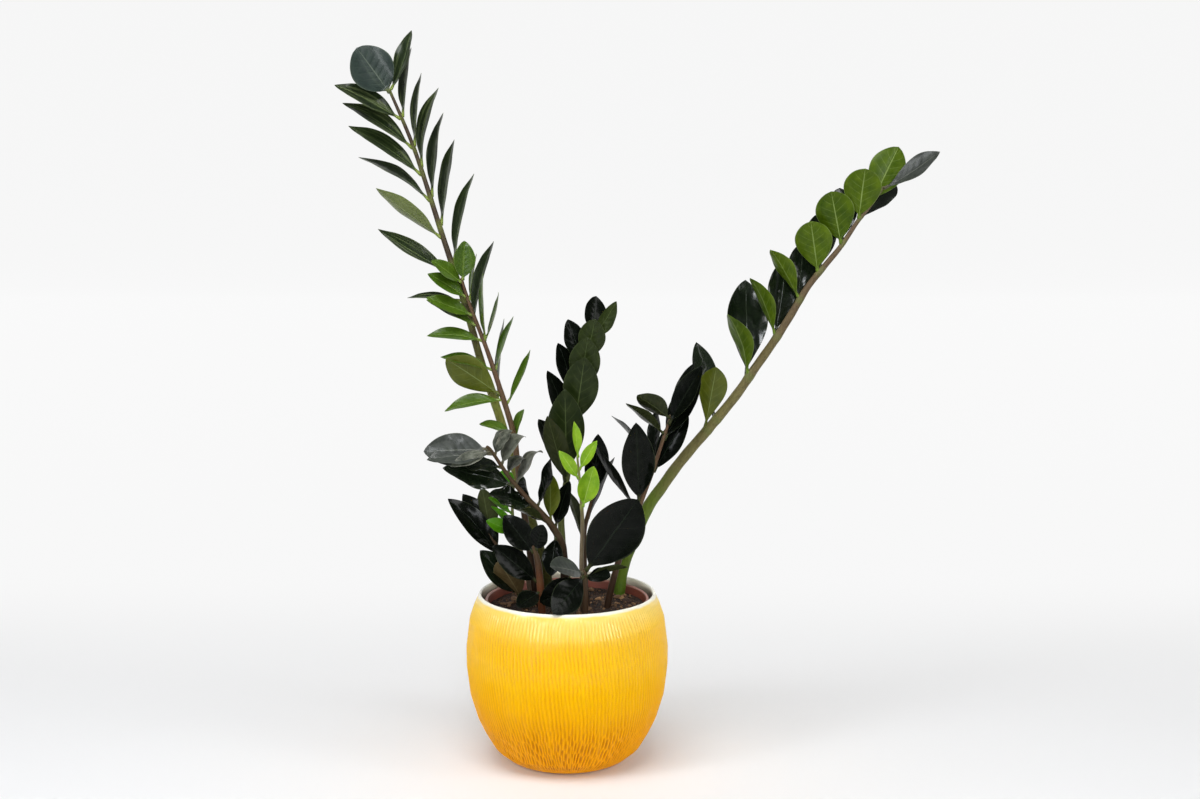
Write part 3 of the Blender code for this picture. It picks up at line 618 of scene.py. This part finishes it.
def glaze_material():
    """Yellow glaze: thin and pale on the lip, with a painted highlight band round the shoulder, pooled
    orange in the grooves and low down.
    """
    n = Nodes("yellow_glaze", 0.16)
    height = n.split(n.place())[2]
    groove = n.number("groove")
    clouds = n.noise(14, 3, 0.5)
    level = n.scaled(clouds, 0.02, n.math("ADD", height, -0.01))
    colour = n.mix(n.steps(level, 0.125, 0.03), (0.94, 0.54, 0.0), (0.92, 0.4, 0.0))
    # painted highlight: a pale band round the shoulder just below the rim, where the glaze shows the
    # lights' reflection
    colour = n.mix(n.steps(level, 0.138, 0.166, 0.0, 0.55), colour, (0.95, 0.8, 0.26))
    pooled = n.mix(n.steps(level, 0.1, 0.02), (0.8, 0.36, 0.0), (0.54, 0.18, 0.0))
    # painted highlight: the grooves in that band are paler too
    pooled = n.mix(n.steps(level, 0.12, 0.16, 0.0, 0.5), pooled, (0.9, 0.62, 0.08))
    colour = n.tint(colour, pooled, groove, n.steps(level, 0.1, 0.02, 0.85, 0.95))
    bare = n.math("ADD", height, n.scaled(n.noise(60), 0.0024, -0.0012))
    colour = n.mix(n.steps(bare, 0.168, 0.1708), colour, (0.9, 0.87, 0.74))
    grain = n.noise(500)
    return n.finish(base_color=colour, roughness=n.scaled(clouds, 0.1, 0.13),
                    normal=n.bump(grain, 0.06, 0.0004), coat_weight=0.0,
                    specular_ior_level=n.steps(height, 0.09, 0.14, 0.07, 0.5))


def inner_glaze_material():
    """The cream glaze inside the pot and the unglazed ring under its foot."""
    n = Nodes("cream_glaze", 0.3)
    colour = n.mix(n.noise(25, 4), (0.88, 0.83, 0.64), (0.94, 0.91, 0.76))
    return n.finish(base_color=colour, normal=n.bump(n.noise(220), 0.08, 0.0005),
                    coat_weight=0.3, coat_roughness=0.15)


def plastic_material():
    """Terracotta plastic with a faint moulded grain, scuffed and paler on the rim."""
    n = Nodes("terracotta_plastic", 0.42)
    height = n.split(n.place())[2]
    clouds = n.noise(40, 4)
    grain = n.noise(1500, 2, 0.5)
    colour = n.mix(clouds, (0.17, 0.04, 0.024), (0.26, 0.07, 0.042))
    colour = n.mix(n.steps(height, 0.164, 0.1655, 0.0, 0.8), colour, (0.42, 0.19, 0.145))
    scuff = n.steps(n.noise(130, 3, 0.7, (1.0, 1.0, 4.0)), 0.6, 0.75)
    colour = n.tint(colour, (0.42, 0.24, 0.18), scuff, 0.25)
    return n.finish(base_color=colour, roughness=n.scaled(clouds, 0.2, 0.32),
                    normal=n.bump(grain, 0.15, 0.0003))


def soil_material():
    """Dark peat with brown fibres and crumbs."""
    n = Nodes("potting_soil", 0.95)
    clouds = n.noise(60, 5, 0.7)
    crumbs = n.noise(420, 5, 0.75)
    fibres = n.steps(n.noise(240, 3, 0.6, (0.35, 2.6, 1.0), warp=1.5), 0.62, 0.72)
    colour = n.mix(n.steps(clouds, 0.35, 0.65), (0.008, 0.004, 0.003), (0.055, 0.028, 0.016))
    colour = n.mix(n.steps(crumbs, 0.5, 0.72), colour, (0.12, 0.068, 0.038))
    colour = n.tint(colour, (0.2, 0.115, 0.055), fibres, 0.7)
    return n.finish(base_color=colour, normal=n.bump(crumbs, 0.9, 0.003))


def bark_material():
    """Bark and wood bits, from dark brown to pale tan, streaked along the grain."""
    n = Nodes("bark_bits", 0.85)
    tone = n.number("tone")
    streaks = n.noise(300, 4, 0.65, (0.5, 2.5, 2.5))
    dark = n.mix(tone, (0.028, 0.014, 0.009), (0.25, 0.13, 0.055))
    light = n.mix(tone, (0.085, 0.045, 0.026), (0.44, 0.255, 0.115))
    return n.finish(base_color=n.mix(n.steps(streaks, 0.35, 0.7), dark, light),
                    normal=n.bump(streaks, 0.6, 0.001))


def floor_material():
    """A pale studio floor, greyer far in front, that turns into an evenly lit backdrop behind."""
    n = Nodes("studio_floor", 0.6)
    paint = n.mix(n.noise(3, 2, 0.5), (0.86, 0.86, 0.862), (0.875, 0.875, 0.877))
    depth = n.split(n.place())[1]
    paint = n.mix(n.steps(depth, *FLOOR_GREY_FROM_TO), paint, (0.36, 0.36, 0.365))
    far = n.steps(depth, *BACKDROP_FROM_TO)
    return n.finish(base_color=n.mix(far, paint, (0.0, 0.0, 0.0)), specular_ior_level=0.01,
                    emission_color=(1.0, 1.0, 1.0), emission_strength=n.times(far, BACKDROP_LIGHT))


# Plant ----


def catmull_rom(a, b, c, d, t):
    """The value between b and c at share t, with a and d as their neighbours."""
    return 0.5 * (2 * b + (c - a) * t + (2 * a - 5 * b + 4 * c - d) * t * t
                  + (3 * b - a - 3 * c + d) * t ** 3)


def spline(points, steps):
    """A smooth line of (x, y, z, radius) through the given points."""
    line = []
    last = len(points) - 1
    for i in range(last):
        around = (points[max(i - 1, 0)], points[i], points[i + 1], points[min(i + 2, last)])
        for step in range(steps):
            line.append(tuple(catmull_rom(*values, step / steps) for values in zip(*around)))
    line.append(tuple(float(value) for value in points[last]))
    return line


def tangents(line):
    """Unit directions along a line, averaged at its inner points."""
    spots = [Vector(point[:3]) for point in line]
    last = len(spots) - 1
    return [(spots[min(i + 1, last)] - spots[max(i - 1, 0)]).normalized() for i in range(last + 1)]


def spot_on_stem(line, height):
    """Where a stem passes a height: its centre, direction and radius."""
    ways = tangents(line)
    for i in range(len(line) - 1):
        if line[i + 1][2] >= height or i == len(line) - 2:
            low, high = line[i], line[i + 1]
            share = min(max((height - low[2]) / (high[2] - low[2]), 0.0), 1.0)
            centre = Vector(low[:3]).lerp(Vector(high[:3]), share)
            way = ways[i].lerp(ways[i + 1], share).normalized()
            return centre, way, low[3] + (high[3] - low[3]) * share


def leaf_place(line, leaf):
    """A leaf's length and the matrix that puts its foot on the stem."""
    centre, way, radius = spot_on_stem(line, leaf.height)
    tip = centre + Vector((leaf.dx, leaf.dy, leaf.dz))
    aim = (tip - centre).normalized()
    outward = (aim - way * aim.dot(way)).normalized()
    foot = centre + outward * radius * LEAF_FOOT_SHARE
    aim = tip - foot
    length = aim.length
    aim.normalize()
    front = Vector((0, -1, 0))
    front = (front - aim * front.dot(aim)).normalized()
    angle = radians(leaf.roll)
    normal = front * cos(angle) + aim.cross(front) * sin(angle)
    side = aim.cross(normal)
    turn = Matrix((side, aim, normal)).transposed().to_4x4()
    return length, Matrix.Translation(foot * MM) @ turn


def leaf_outline(along, roundness, heavy):
    """Half width, as a share of the widest, along the blade; heavy moves the widest spot out."""
    blade = np.clip((along - PETIOLE_SHARE) / (1 - PETIOLE_SHARE), 0, 1)
    shape = np.sin(np.pi * blade ** heavy) ** (0.88 - 0.3 * roundness)
    return np.where(along <= PETIOLE_SHARE, 0.0, np.clip(shape, 0, 1))


def dent_depth(x, y, drift):
    """Dents in a blade, longer along it than across it, with finer ones on top."""
    coarse = rough(x * 0.15, y * 0.055, drift)
    return coarse + 0.4 * rough(x * 0.32, y * 0.13, drift)


def leaf_faces():
    """Faces of a leaf from its upper and under grids, and which of the two skins each has."""
    faces, skins = [], []
    for r in range(ROWS - 1):
        for c in range(COLUMNS - 1):
            a = r * COLUMNS + c
            b, d = a + 1, a + COLUMNS
            faces.append((a, b, d + 1, d))
            faces.append((GRID + a, GRID + d, GRID + d + 1, GRID + b))
            skins += [0, 1]
        for c in (0, COLUMNS - 1):
            a = r * COLUMNS + c
            d = a + COLUMNS
            side = (a, d, GRID + d, GRID + a)
            faces.append(side if c == 0 else side[::-1])
            skins.append(1)
    last = (ROWS - 1) * COLUMNS
    for c in range(COLUMNS - 1):
        end = last + c
        faces.append((c, GRID + c, GRID + c + 1, c + 1))
        faces.append((end, end + 1, GRID + end + 1, GRID + end))
        skins += [1, 1]
    return faces, skins


def make_leaf(name, line, leaf, look, form):
    """One leaf: a petiole that widens into a folded, wavy blade with a raised midrib below."""
    length, matrix = leaf_place(line, leaf)
    draw = seeded(name).uniform
    half = leaf.width / 2
    roundness = min(max((leaf.width / length - 0.25) / 0.5, 0.0), 1.0)
    rise = math.tan(radians(leaf.arch) / 4) / 2 * length
    fold = form["fold"] + draw(-0.06, 0.06)
    waves, phase = draw(1.2, 2.6), draw(0, 6.28)
    wave_size = half * form["wave"] * draw(0.5, 1.2)
    twist = radians(form["twist"] * draw(-1, 1))
    flick = draw(-0.02, 0.03) * length
    petiole = 0.9 + 0.02 * half + 0.004 * length
    drift = draw(0, 50)

    # t runs along the leaf from foot to tip, u runs across it from -1 to 1
    even = np.linspace(0, 1, ROWS)
    along = even + 0.15 * np.sin(2 * np.pi * even) / (2 * np.pi)
    across = np.sin(np.linspace(-1, 1, COLUMNS) * np.pi / 2)
    t, u = np.meshgrid(along, across, indexing="ij")
    size = np.abs(u)
    width = half * leaf_outline(t, roundness, form["heavy"])
    foot = np.clip(1 - (t / (PETIOLE_SHARE * 1.5)) ** 2, 0, 1)
    stalk = np.where(t < 0.5, petiole * (0.8 + 0.45 * foot ** 2), 0.0)
    width = np.maximum(width, stalk + LEAF_TIP_MM)
    width = np.where(t > 0.995, LEAF_TIP_MM, width)
    spread = np.clip((width - petiole) / half, 0, 1)

    # the blade's middle surface: fold, camber, waves, quilting between side veins, dents
    lift = fold * width * (np.sqrt(u ** 2 + 0.02) - math.sqrt(0.02)) * np.minimum(1, spread * 2)
    lift -= form["camber"] * width * 4 * size * (1 - size) * spread
    lift += wave_size * np.sin(2 * np.pi * waves * t + phase + 1.9 * (u > 0)) * u ** 2 * spread
    veins = np.cos(2 * np.pi * (t - 0.2 * size) * SIDE_VEINS)
    lift += form["quilt"] * veins * spread * np.sqrt(np.clip(1 - size, 0, 1)) * np.minimum(1, size * 5)
    spots = zip((u * width).ravel(), (t * length).ravel())
    dents = np.array([dent_depth(x, y, drift) for x, y in spots]).reshape(t.shape)
    lift += form["dent"] * dents * spread

    # the two faces: a thin blade with a groove above and a rib below, on a round stalk
    groove = 0.35 * np.exp(-(u * width / 0.8) ** 2) * np.minimum(1, spread * 3) * (1 - 0.6 * t)
    round_off = np.sqrt(np.clip(1 - u ** 2, 0, 1))
    blade = 0.55 * round_off * (1 - 0.5 * t)
    rib = 0.75 * np.exp(-(u * width / 1.0) ** 2) * (1 - 0.75 * t)
    tube = petiole * round_off * (0.85 + 0.45 * foot ** 2)
    flat = np.where(t < 0.5, np.clip(spread * 4, 0, 1), 1.0)
    top = lift + flat * (0.25 * blade - groove) + (1 - flat) * tube
    bottom = lift - flat * (0.75 * blade + rib) - (1 - flat) * tube

    # the whole leaf arches, twists, and curls down towards its tip
    arch = rise * 4 * t * (1 - t) + flick * t ** 3 * (1 - t) * 4
    roll = radians(form["curl"]) * np.clip((t - 0.45) / 0.55, 0, 1) ** 1.5
    step = np.gradient(t, axis=0)
    run = np.cumsum(np.cos(roll) * step, axis=0) - np.cos(roll[:1]) * step[:1]
    drop = np.cumsum(np.sin(roll) * step, axis=0) * length
    turn = twist * (t - 0.4) * np.clip(spread * 3, 0, 1)

    def surface(height):
        x = -u * width
        out = x * np.sin(turn) + height * np.cos(turn)
        sideways = x * np.cos(turn) - height * np.sin(turn)
        spot = (sideways, run * length + out * np.sin(roll), arch - drop + out * np.cos(roll))
        return np.stack(spot, -1).reshape(-1, 3)

    points = np.concatenate([surface(top), surface(bottom)]) * MM
    faces, skins = LEAF_FACES
    mesh = mesh_from(name, points, faces, LEAF_SKINS[look], skins)
    add_map(mesh, np.tile(((u + 1) / 2).ravel(), 2), np.tile(t.ravel(), 2))
    add_float(mesh, "shift", np.full(2 * GRID, draw(0, 40)))
    add_float(mesh, "tone", np.full(2 * GRID, draw(-0.22, 0.22)))
    face_outward(mesh, merge=1e-6)
    return link_object(name, mesh, matrix)


def make_stem(name, frond):
    """A stem that swells where each leaf leaves it and flares a little at the soil."""
    chance = seeded(name)
    line = spline(frond.stem, 10)
    ways = tangents(line)
    heights = [row[1] for row in frond.leaves]
    points, joints, along = [], [], []
    rings = len(line)
    for i, ((x, y, z, radius), way) in enumerate(zip(line, ways)):
        across = way.cross(Vector((0, 1, 0))).normalized()
        other = across.cross(way)
        near = max([math.exp(-((z - h) / 2.6) ** 2) for h in heights], default=0.0)
        girth = radius * (1 + 0.07 * near + 0.05 * math.exp(-((z - 156) / 9) ** 2))
        girth *= 1 + 0.02 * sin(z * 0.31 + chance.random() * 0.2)
        for k in range(STEM_SIDES):
            angle = 2 * pi * k / STEM_SIDES
            wobble = 1 + 0.025 * sin(3 * angle + z * 0.05)
            spoke = across * cos(angle) + other * sin(angle)
            points.append((Vector((x, y, z)) + spoke * girth * wobble) * MM)
        joints += [near * 0.6] * STEM_SIDES
        along += [i / (rings - 1)] * STEM_SIDES
    faces = [tuple(reversed(f)) for f in ring_faces(rings, STEM_SIDES)]
    tip = Vector(line[-1][:3]) + ways[-1] * line[-1][3] * 0.8
    base = len(points)
    points += [tip * MM, Vector(line[0][:3]) * MM]
    joints += [0.0, 0.0]
    along += [1.0, 0.0]
    end = (rings - 1) * STEM_SIDES
    for k in range(STEM_SIDES):
        j = (k + 1) % STEM_SIDES
        faces.append((end + j, end + k, base))
        faces.append((k, j, base + 1))
    mesh = mesh_from(name, points, faces, [STEM_SKINS[frond.skin]])
    add_map(mesh, np.arange(len(points)) % STEM_SIDES / STEM_SIDES, along)
    add_float(mesh, "joint", joints)
    face_outward(mesh)
    return link_object(name, mesh)


def make_plant():
    """Every frond: its stem, then its leaves from the table's rows."""
    for name, frond in FRONDS.items():
        stem_node = f"stem_{name}"
        stand_in(make_stem(f"{name}_stem", frond), stem_node)
        line = spline(frond.stem, 2)
        for row in frond.leaves:
            leaf = Leaf(*row)
            key = f"{name}_{leaf.name}"
            form = {**PLAIN_FORM, **FORMS.get(name, {}), **LEAF_FORMS.get(key, {})}
            look = LOOK_OF_LEAF.get(key, frond.look)
            piece = make_leaf(f"{name}_leaf_{leaf.name}", line, leaf, look, form)
            stand_in(piece, f"leaf_{key}" if frond.separate else stem_node)


# Pots and soil ----


def groove_depth(angle, z):
    """How deep the carving is at a spot, from 0 on a ridge to 1 in a groove.

    Grooves run up the pot and lean a little; low down they break into short slanted strokes.
    """
    drift = rough(cos(angle) * 2.2, sin(angle) * 2.2, z * 0.02)
    low = min(max((STROKES_BELOW_MM - z) / 30, 0.0), 1.0)
    phase = GROOVES * angle / (2 * pi)
    phase += 0.022 * (z - 100) * (0.75 + 0.8 * drift)
    phase += 0.3 * rough(angle * 9, z * 0.05, 3.1)
    lane = math.floor(phase)
    step = z / STROKE_MM + 2.2 * rough(lane * 0.37, 1.7, 0.4)
    step += 0.25 * rough(lane * 5.37, 1.7, 0.4)
    inside = step - math.floor(step)
    slant = low * 0.55 * (inside - 0.5)
    wave = 0.5 - 0.5 * cos(2 * pi * (phase - slant))
    stroke = rough(lane * 0.73, z * 0.035, 9.4)
    cut = (0.8 + 0.45 * stroke) * (1 + 0.45 * low)
    cut *= 1 - low * 0.7 * (1 - sin(pi * inside) ** 0.35)
    starts = min(max((z - GROOVES_FROM_MM) / 4, 0.0), 1.0)
    ends = starts * min(max((GROOVES_TO_MM - z) / 7, 0.0), 1.0)
    return (1 - wave ** 0.7) * min(max(cut, 0.1), 1.5) * ends


def make_pot():
    """The cover pot: carved outside, plain lip and inside."""
    outside = smooth_profile(POT_OUTSIDE_MM, GROOVE_RINGS, 0.35)
    step = np.gradient(outside, axis=0)
    normal = np.stack([step[:, 1], -step[:, 0]], 1)
    normal /= np.hypot(*normal.T)[:, None]
    sides = GROOVES * GROOVE_POINTS
    points, carved = [], []
    for (radius, z), (across, up) in zip(outside, normal):
        for i in range(sides):
            angle = 2 * pi * i / sides
            depth = groove_depth(angle, z)
            r = (radius - across * depth * GROOVE_DEPTH_MM) * MM
            points.append((r * cos(angle), r * sin(angle),
                           (z - up * depth * GROOVE_DEPTH_MM) * MM))
            carved.append(depth)
    faces = ring_faces(GROOVE_RINGS, sides)
    # each point of the carved edge joins the nearest one of the plain lip
    edge, lip = (GROOVE_RINGS - 1) * sides, len(points)
    nearest = [lip + round(i * PLAIN_SIDES / sides) % PLAIN_SIDES for i in range(sides)]
    for i in range(sides):
        j = (i + 1) % sides
        a, b = nearest[i], nearest[j]
        faces.append((edge + i, edge + j, b, a) if a != b else (edge + i, edge + j, a))
    glazed = len(faces)
    for radius, z in smooth_profile(POT_INSIDE_MM, INSIDE_RINGS):
        points += ring_points(radius, z, PLAIN_SIDES)
    faces += ring_faces(INSIDE_RINGS, PLAIN_SIDES, lip)
    floor, foot = len(points), len(points) + 1
    low = floor - PLAIN_SIDES
    points += [(0, 0, POT_FLOOR_MM * MM), (0, 0, 0)]
    faces += [(low + i, low + (i + 1) % PLAIN_SIDES, floor) for i in range(PLAIN_SIDES)]
    faces += [((i + 1) % sides, i, foot) for i in range(sides)]
    skins = [0] * glazed + [1] * (len(faces) - glazed)
    mesh = mesh_from("pot_glazed", points, faces, [glaze_material(), inner_glaze_material()], skins)
    add_float(mesh, "groove", carved + [0.0] * (len(points) - len(carved)))
    stand_in(link_object("pot_glazed", mesh), "pot")


def make_nursery_pot():
    """The plastic pot, turned from a profile that starts and ends on its axis."""
    profile = NURSERY_OUTSIDE_MM + NURSERY_INSIDE_MM
    points = [(0.0, 0.0, profile[0][1] * MM)]
    for radius, z in profile[1:-1]:
        points += ring_points(radius, z, PLAIN_SIDES)
    points.append((0.0, 0.0, profile[-1][1] * MM))
    faces = closed_faces(len(profile) - 2, PLAIN_SIDES)
    mesh = mesh_from("inner_pot", points, faces, [plastic_material()])
    mesh.set_sharp_from_angle(angle=radians(40))
    stand_in(link_object("inner_pot", mesh), "nursery_pot")


def soil_height(x, y):
    """The soil's top in millimetres at a spot."""
    edge = math.hypot(x, y) / SOIL_RADIUS_MM
    big = rough(x * 0.045, y * 0.045, 1.0) * 2.2
    mid = rough(x * 0.16, y * 0.16, 5.0) * 1.3
    small = rough(x * 0.5, y * 0.5, 8.0) * 0.7
    return SOIL_TOP_MM + (big + mid) * (1 - 0.5 * edge ** 4) + small


def make_soil():
    """The soil: a lumpy top on a plain body."""
    points = [(0.0, 0.0, SOIL_BODY_MM[0][1] * MM)]
    for radius, z in SOIL_BODY_MM:
        points += ring_points(radius, z, SOIL_SIDES)
    for r in range(SOIL_RINGS):
        radius = SOIL_RADIUS_MM * (1 - r / SOIL_RINGS)
        for i in range(SOIL_SIDES):
            angle = 2 * pi * i / SOIL_SIDES
            x, y = radius * cos(angle), radius * sin(angle)
            points.append((x * MM, y * MM, soil_height(x, y) * MM))
    points.append((0.0, 0.0, soil_height(0, 0) * MM))
    faces = closed_faces(len(SOIL_BODY_MM) + SOIL_RINGS, SOIL_SIDES)
    mesh = mesh_from("soil_body", points, faces, [soil_material()])
    stand_in(link_object("soil_body", mesh), "soil")


def scatter(name, count, small, large, flat, material, detail, pale):
    """Rough bits strewn over the soil, joined into one piece."""
    chance = seeded(name)
    draw = chance.uniform
    stock = bmesh.new()
    bmesh.ops.create_icosphere(stock, subdivisions=detail, radius=1.0)
    shape = np.array([v.co[:] for v in stock.verts])
    shape_faces = [[v.index for v in f.verts] for f in stock.faces]
    stock.free()
    points, faces, tones = [], [], []
    for k in range(count):
        angle = draw(0, 2 * pi)
        radius = (SOIL_RADIUS_MM - 3) * math.sqrt(chance.random())
        x, y = radius * cos(angle), radius * sin(angle)
        size = small + (large - small) * chance.random() ** 2.5
        scale = np.array([size * draw(0.7, 1.3), size * draw(0.4, 0.8),
                          size * flat * draw(0.6, 1.2)])
        turn = (Matrix.Rotation(draw(0, 6.28), 3, "Z")
                @ Matrix.Rotation(draw(-0.6, 0.6), 3, "X")
                @ Matrix.Rotation(draw(-0.5, 0.5), 3, "Y"))
        dent = np.array([1 + 0.35 * noise.noise(Vector(p) * 1.3 + Vector((k * 3.7, 0, 0)))
                         for p in shape])
        body = (shape * dent[:, None] * scale) @ np.array(turn).T
        body += (x, y, soil_height(x, y) + scale[2] * 0.35)
        base = len(points)
        points.extend(body * MM)
        faces.extend([[base + i for i in f] for f in shape_faces])
        tones += [min(max(chance.gauss(pale, 0.25), 0.0), 1.0)] * len(shape)
    mesh = mesh_from(name, points, faces, [material], smooth=False)
    add_float(mesh, "tone", tones)
    bits = link_object(name, mesh)
    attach(bits, "root")


# Stage ----


def area_light(name, place, aim, size, power, colour=(1.0, 1.0, 1.0)):
    light = bpy.data.lights.new(name, "AREA")
    light.shape = "RECTANGLE"
    light.size, light.size_y = size
    light.energy = power
    light.color = colour
    item = link_object(name, light)
    item.location = place
    item.rotation_euler = (Vector(aim) - Vector(place)).to_track_quat("-Z", "Y").to_euler()


def make_floor():
    """A pale floor that sweeps up behind."""
    turns = [pi / 2 * i / 24 for i in range(25)]
    sweep = [(6 + 3 * sin(angle), 3 - 3 * cos(angle)) for angle in turns]
    profile = [(-8, 0.0), (3, 0.0)] + sweep + [(9, 9.0)]
    points, faces = [], []
    for y, z in profile:
        points += [(-14, y, z), (14, y, z)]
    for i in range(len(profile) - 1):
        a = 2 * i
        faces.append((a, a + 1, a + 3, a + 2))
    floor = link_object("studio_floor", mesh_from("studio_floor", points, faces, [floor_material()]))


def make_stage():
    """The floor, soft lights, a faint even light from all round, and the camera."""
    make_floor()
    for name, light in LIGHTS.items():
        area_light(name, *light)
    world = bpy.data.worlds.new("studio")
    world.use_nodes = True
    sky = world.node_tree.nodes["Background"]
    sky.inputs["Color"].default_value = (1.0, 1.0, 1.0, 1.0)
    sky.inputs["Strength"].default_value = WORLD_LIGHT
    scene = bpy.context.scene
    scene.world = world
    camera_data = bpy.data.cameras.new("camera")
    camera_data.lens = LENS_MM
    camera_data.sensor_width = SENSOR_MM
    camera = link_object("camera", camera_data)
    camera.location = CAMERA_AT
    camera.rotation_euler = (radians(90 - CAMERA_DOWN_DEG), 0, 0)
    scene.camera = camera
    scene.view_settings.view_transform = "Standard"


LEAF_FACES = leaf_faces()
LEAF_SKINS = {look: [leaf_material(look, side) for side in ("upper", "under")] for look in LOOKS}
STEM_SKINS = {skin: stem_material(skin) for skin in SKINS}

make_pot()
make_nursery_pot()
make_soil()
BARK = bark_material()
scatter("bark_chips", 90, 1.8, 7.0, 0.4, BARK, 2, 0.36)
scatter("soil_crumbs", 900, 0.6, 2.6, 0.8, BARK, 1, 0.14)
make_plant()
make_stage()
